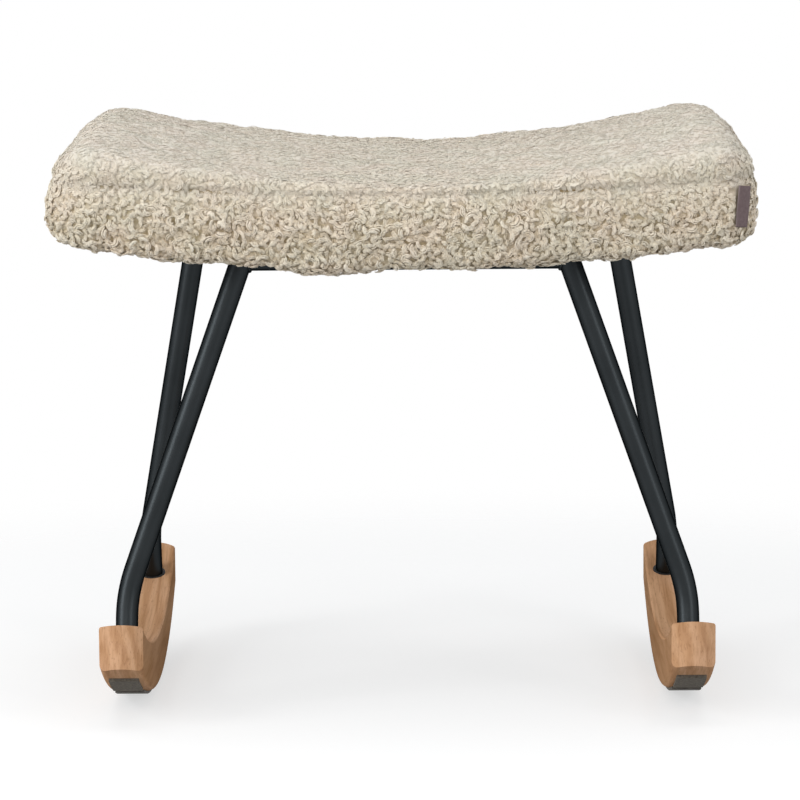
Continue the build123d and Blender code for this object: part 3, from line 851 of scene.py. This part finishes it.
def tab():
    """A folded strip of ribbon, bent round the corner."""
    columns, rows = 14, 24
    made = bmesh.new()
    grid = []
    for face in (0, 1):
        for row in range(rows + 1):
            line = []
            for column in range(columns + 1):
                across = (column / columns - 0.5) * TAB_WIDTH
                up = (row / rows - 0.5) * TAB_HEIGHT
                edge = min(column, columns - column) / 2
                thick = TAB_THICKNESS / 2 * min(1, 0.45 + 0.55 * edge)
                angle = across / TAB_CURVE
                wave = 0.25 * MM * math.sin(up / TAB_HEIGHT * 5 + across / TAB_WIDTH * 2)
                out = TAB_CURVE * (math.cos(angle) - 1) + wave + (thick if face else -thick)
                line.append(made.verts.new((TAB_CURVE * math.sin(angle), -out, up)))
            grid.append(line)
    inner, outer = grid[:rows + 1], grid[rows + 1:]
    add_quads(made, inner, up=False)
    add_quads(made, outer, up=True)
    for row in range(rows):
        for column in (0, columns):
            corners = [inner[row][column], inner[row + 1][column]]
            made.faces.new(corners + [outer[row + 1][column], outer[row][column]])
    for column in range(columns):
        for row in (0, rows):
            made.faces.new(
                [inner[row][column], outer[row][column], outer[row][column + 1], inner[row][column + 1]]
            )
    bmesh.ops.recalc_face_normals(made, faces=made.faces)
    obj = object_of("tab", made)
    set_values(obj.data, "across", points_of(obj.data)[:, 0] / MM)
    obj.data.transform(seat_matrix() @ tab_matrix())
    obj.data.materials.append(ribbon())
    return obj


def ribbon():
    """Woven ribbon with fine ribs along it and a paler selvedge."""
    made = Nodes("ribbon", (0.15, 0.1, 0.1), 0.7)
    across = made.attribute("across")
    ribs = made.math("SINE", made.math("MULTIPLY", across, 2 * math.pi / RIB_PITCH))
    ribs = made.math("MULTIPLY", made.math("ADD", ribs, 1.0), 0.5)
    shade = made.noise(made.mapped(), 420, 4, 0.6)
    tone = made.ramp(shade, (0.3, (0.118, 0.078, 0.080)), (0.7, (0.172, 0.122, 0.124)))
    tone = made.mix(made.math("MULTIPLY", ribs, 0.35), tone, (0.098, 0.066, 0.068))
    selvedge = made.math("GREATER_THAN", made.math("ABSOLUTE", across), TAB_WIDTH / MM / 2 - 0.8)
    made.colour(made.mix(made.math("MULTIPLY", selvedge, 0.55), tone, (0.27, 0.215, 0.21)))
    made.bump(ribs, 0.5, 0.0003)
    return made.material


# ---- Welds -------------------------------------------------------------------------------------


def in_order(rim, axis):
    """The rim's points in order round this axis."""
    axis = Vector(axis).normalized()
    side = np.array(axis.orthogonal().normalized())
    other = np.cross(np.array(axis), side)
    away = rim - rim.mean(0)
    return rim[np.argsort(np.arctan2(away @ other, away @ side))]


def leg_rim(leg, plate):
    """Where the outside of a leg meets its plate: the rim's points, and the plate's normal."""
    largest = max(frame["nodes"][plate].data.polygons, key=lambda face: face.area)
    normal = np.array(largest.normal)
    normal = normal * np.sign(normal[2])
    level = (points_of(frame["nodes"][plate].data) @ normal).min()
    points = points_of(frame["nodes"][leg].data)
    rim = points[np.abs(points @ normal - level) < RIM_REACH]
    away = np.linalg.norm(rim - rim.mean(0), axis=1)
    return in_order(rim[away > away.max() - TUBE_WALL / 2], normal), normal


def cross_rim(tube, side):
    """Where the outside of a cross tube meets a leg: the rim's points, and the tube's direction."""
    points = points_of(frame["nodes"][tube].data)
    axis = np.array((side, 0.0, 0.0))
    middle = points.mean(0)
    away = np.linalg.norm((points - middle)[:, 1:], axis=1)
    rim = points[(away > away.max() - TUBE_WALL / 2) & ((points - middle)[:, 0] * side > 0)]
    return in_order(rim, axis), axis


def weld_bead(name, rim, axis):
    """A bead along a closed rim, rippled as it was laid."""
    around, section = 72, 8
    closed = np.vstack([rim, rim[:1]])
    length = np.concatenate([[0], np.cumsum(np.linalg.norm(np.diff(closed, axis=0), axis=1))])
    steps = np.linspace(0, length[-1], around, endpoint=False)
    line = np.stack([np.interp(steps, length, closed[:, k]) for k in range(3)], 1)
    middle = line.mean(0)
    made = bmesh.new()
    rings = []
    for step, place in enumerate(line):
        angle = 2 * math.pi * step / around
        out = place - middle
        out = out - axis * (out @ axis)
        out /= np.linalg.norm(out)
        bead = BEAD_RADIUS * (1 + 0.12 * math.sin(angle * 21) + 0.08 * math.sin(angle * 5 + 1))
        ring = []
        for part in range(section):
            turn = 2 * math.pi * part / section
            ring.append(made.verts.new(place + (out * math.cos(turn) + axis * math.sin(turn)) * bead))
        rings.append(ring)
    for step in range(around):
        first, second = rings[step], rings[(step + 1) % around]
        for part in range(section):
            following = (part + 1) % section
            made.faces.new([first[part], second[part], second[following], first[following]])
    bmesh.ops.recalc_face_normals(made, faces=made.faces)
    return object_of(name, made)


# ---- Cloth under the board ---------------------------------------------------------------------


def plate_places():
    """The middles of the plates and half their sizes, in the seat's frame."""
    to_seat = seat_matrix().inverted()
    found = []
    for end in ("front", "rear"):
        for side in ("left", "right"):
            low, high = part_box(f"{end}_{side}_plate")
            found.append((to_seat @ ((low + high) / 2), (high - low) / 2))
    return found


def cloth_edge():
    """Half the cloth's width and depth, in the seat's frame."""
    low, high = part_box("dust_cloth")
    return (high.x - low.x) / 2, (high.y - low.y) / 2 / math.cos(SEAT_TILT)


def cloth_sag(x, y, half_x, half_y, plates):
    """How far the cloth hangs below the board: nothing at its stapled edge and over the plates."""
    free = min(half_x - abs(x), half_y - abs(y))
    for middle, half in plates:
        beside = max(abs(x - middle.x) - half.x, abs(y - middle.y) - half.y)
        free = min(free, beside - PLATE_MARGIN)
    free = min(max(free / CLOTH_SLACK_REACH, 0.0), 1.0)
    short = noise.noise(Vector((x * 34, y * 14, 0.0)))
    long = noise.noise(Vector((x * 13, y * 60, 3.0)))
    ripple = short + 0.6 * long
    return free * free * (3 - 2 * free) * CLOTH_SAG * (0.7 + 0.8 * ripple)


def dust_cloth():
    """The thin cloth under the board, slack between its staples and the plates."""
    half_x, half_y = cloth_edge()
    columns, rows = 104, 68
    plates = plate_places()
    made = bmesh.new()
    layers = []
    for lift in (0.0, CLOTH_THICKNESS):
        grid = []
        for row in range(rows + 1):
            y = (2 * row / rows - 1) * half_y
            line = []
            for column in range(columns + 1):
                x = (2 * column / columns - 1) * half_x
                over_corner = max(0.0, abs(x) - half_x + CLOTH_CORNER) / CLOTH_CORNER
                squeeze = CLOTH_CORNER * (1 - math.sqrt(max(0.0, 1 - over_corner**2)))
                near = y * (1 - squeeze / half_y)
                low = arc_rise(x, BOARD_RADIUS) - CLOTH_DROP
                low -= cloth_sag(x, near, half_x, half_y, plates)
                line.append(made.verts.new((x, near, low + lift)))
            grid.append(line)
        layers.append(grid)
    under, over = layers
    add_quads(made, under, up=False)
    add_quads(made, over, up=True)
    border = [(0, c) for c in range(columns)] + [(r, columns) for r in range(rows)]
    border += [(rows, c) for c in range(columns, 0, -1)] + [(r, 0) for r in range(rows, 0, -1)]
    for (r0, c0), (r1, c1) in zip(border, border[1:] + border[:1]):
        made.faces.new([under[r0][c0], under[r1][c1], over[r1][c1], over[r0][c0]])
    obj = object_of("underside_cloth", made)
    obj.data.transform(seat_matrix())
    obj.data.materials.append(dust_fabric())
    return obj


def staples():
    """Wire staples through the cloth's edge, every few centimetres."""
    half_x, half_y = cloth_edge()
    in_x, in_y = half_x - STAPLE_INSET, half_y - STAPLE_INSET
    places = []
    for sign in (-1, 1):
        reach = np.linspace(-in_x + CLOTH_CORNER, in_x - CLOTH_CORNER, STAPLES_ALONG)
        places += [(x, sign * in_y, 0.0) for x in reach]
        reach = np.linspace(-in_y + CLOTH_CORNER, in_y - CLOTH_CORNER, STAPLES_ACROSS)
        places += [(sign * in_x, y, math.pi / 2) for y in reach]
    made = bmesh.new()
    for number, (x, y, turn) in enumerate(places):
        wire = bmesh.ops.create_cube(made, size=1.0)["verts"]
        tilt = turn + STAPLE_SKEW * math.sin(number * 2.4)
        low = arc_rise(x, BOARD_RADIUS) - CLOTH_DROP - STAPLE_WIRE / 2
        slope = math.asin(x / BOARD_RADIUS)
        lie = Matrix.Rotation(-slope, 4, "Y") @ Matrix.Rotation(tilt, 4, "Z")
        lie = Matrix.Translation((x, y, low)) @ lie @ Matrix.Diagonal((*STAPLE_SIZE, 1))
        bmesh.ops.transform(made, matrix=lie, verts=wire)
    bmesh.ops.bevel(made, geom=made.edges[:], offset=STAPLE_ROUNDING, segments=2, affect="EDGES")
    obj = object_of("staples", made, smooth=False)
    obj.data.transform(seat_matrix())
    obj.data.materials.append(zinc())
    return obj


# ---- Putting it together -----------------------------------------------------------------------


def dress_frame():
    wood, metal, pads, rubber = beech(), steel(), felt(), strip_rubber()
    plated, board, rings = zinc(), plywood(), socket_shade_black()
    by_ending = {
        "_rocker": wood,
        "_leg": metal,
        "_cross_tube": metal,
        "_plate": metal,
        "_end_pads": pads,
        "_floor_strip": rubber,
        # near-black rings: painted shade in the socket mouths
        "socket_rings": rings,
        "seat_board": board,
    }
    for name, obj in frame["nodes"].items():
        material = next((look for end, look in by_ending.items() if name.endswith(end)), plated)
        for slot in obj.material_slots:
            slot.material = material
    for end in ("front", "rear"):
        for label, side in (("left", -1), ("right", 1)):
            rims = {
                "weld": leg_rim(f"{end}_{label}_leg", f"{end}_{label}_plate"),
                "cross_weld": cross_rim(f"{end}_cross_tube", side),
            }
            for kind, (rim, axis) in rims.items():
                bead = weld_bead(f"{kind}_{end}_{label}", rim, axis)
                bead.data.materials.append(metal)
                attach(bead, "root")


def dress_cushion():
    to_stool = seat_matrix()
    skin = cushion_skin()
    for piece in curly_cover(skin, to_stool):
        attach(piece, "root")
    tuck_in(skin.data)
    skin.data.transform(to_stool)
    skin.data.shade_smooth()
    skin.data.materials.clear()
    skin.data.materials.append(skin_fabric())
    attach(skin, "root")
    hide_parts("cover_top_panel", "cover_side_band", "seat_foam")
    cloth = dust_cloth()
    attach(cloth, "root")
    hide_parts("dust_cloth")
    wires = staples()
    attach(wires, "root")
    label = tab()
    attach(label, "root")
    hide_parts("label_tab")


# ---- Stage, light and camera -------------------------------------------------------------------


def seen_directly(tree):
    """1 for the rays that see the background: from the camera, in gloss and through glass."""
    path = tree.nodes.new("ShaderNodeLightPath")
    total = path.outputs["Is Camera Ray"]
    for kind in ("Is Glossy Ray", "Is Transmission Ray"):
        add = tree.nodes.new("ShaderNodeMath")
        add.operation = "MAXIMUM"
        tree.links.new(total, add.inputs[0])
        tree.links.new(path.outputs[kind], add.inputs[1])
        total = add.outputs[0]
    return total


def floor():
    """A pale floor that takes the shadow and fades into the white background."""
    made = bmesh.new()
    bmesh.ops.create_circle(made, cap_ends=True, segments=96, radius=FLOOR_RADIUS)
    obj = object_of("floor", made, smooth=False)
    paint = Nodes("floor_paint", FLOOR_PAINT, 0.9)
    paint.shader.inputs["Specular IOR Level"].default_value = 0.0
    tree = paint.tree
    out = tree.nodes["Material Output"]
    glow = paint.add("Emission", Strength=FLOOR_GLOW)
    lit = paint.add("AddShader")
    paint.join(paint.shader.outputs[0], lit.inputs[0])
    paint.join(glow.outputs[0], lit.inputs[1])
    by_ray = paint.add("MixShader")
    paint.join(seen_directly(tree), by_ray.inputs[0])
    paint.join(paint.shader.outputs[0], by_ray.inputs[1])
    paint.join(lit.outputs[0], by_ray.inputs[2])
    place = paint.add("TexCoord")
    distance = paint.add("VectorMath", operation="LENGTH")
    paint.join(place.outputs["Object"], distance.inputs[0])
    fade = paint.add("MapRange", interpolation_type="SMOOTHSTEP")
    fade.inputs["From Min"].default_value = FLOOR_FADE[0]
    fade.inputs["From Max"].default_value = FLOOR_FADE[1]
    paint.join(distance.outputs["Value"], fade.inputs["Value"])
    clear = paint.add("BsdfTransparent")
    faded = paint.add("MixShader")
    paint.join(fade.outputs["Result"], faded.inputs[0])
    paint.join(by_ray.outputs[0], faded.inputs[1])
    paint.join(clear.outputs[0], faded.inputs[2])
    paint.join(faded.outputs[0], out.inputs["Surface"])
    obj.data.materials.append(paint.material)


def world():
    made = bpy.data.worlds.new("studio")
    bpy.context.scene.world = made
    made.use_nodes = True
    tree = made.node_tree
    tree.nodes.clear()
    out = tree.nodes.new("ShaderNodeOutputWorld")
    light = tree.nodes.new("ShaderNodeBackground")
    light.inputs["Color"].default_value = (0.96, 0.98, 1.0, 1)
    light.inputs["Strength"].default_value = WORLD_LIGHT
    white = tree.nodes.new("ShaderNodeBackground")
    white.inputs["Color"].default_value = (1, 1, 1, 1)
    white.inputs["Strength"].default_value = 1.0
    mix = tree.nodes.new("ShaderNodeMixShader")
    tree.links.new(seen_directly(tree), mix.inputs[0])
    tree.links.new(light.outputs[0], mix.inputs[1])
    tree.links.new(white.outputs[0], mix.inputs[2])
    tree.links.new(mix.outputs[0], out.inputs["Surface"])


def lamp(name, place, target, size, power, colour=(1, 1, 1)):
    data = bpy.data.lights.new(name, "AREA")
    data.shape = "RECTANGLE"
    data.size, data.size_y = size
    data.energy = power
    data.color = colour
    obj = linked(name, data)
    obj.location = place
    obj.rotation_mode = "QUATERNION"
    obj.rotation_quaternion = (Vector(target) - Vector(place)).to_track_quat("-Z", "Y")


def lights():
    world()
    lamp("overhead", (0, -0.3, 2.3), (0, 0, 0.4), (2.2, 1.8), 15, (0.97, 0.985, 1.0))
    lamp("front_key", (-0.6, -2.5, 1.7), (0, 0, 0.35), (1.6, 1.2), 14, (1.0, 0.985, 0.96))
    lamp("left_box", (-2.1, -1.3, 1.0), (0, 0, 0.3), (0.95, 1.7), 30)
    lamp("right_box", (1.6, -1.8, 1.0), (0, 0, 0.3), (0.6, 1.6), 12)


def camera():
    data = bpy.data.cameras.new("photo_camera")
    data.lens = CAMERA_LENS
    data.sensor_width = 36
    obj = linked("photo_camera", data)
    obj.location = CAMERA_PLACE
    turn = Matrix.Rotation(CAMERA_YAW, 4, "Z") @ Matrix.Rotation(math.pi / 2 - CAMERA_DOWN, 4, "X")
    obj.rotation_euler = (turn @ Matrix.Rotation(CAMERA_ROLL, 4, "Z")).to_euler()
    bpy.context.scene.camera = obj


dress_frame()
dress_cushion()
floor()
lights()
camera()
bpy.context.scene.view_settings.view_transform = "Standard"
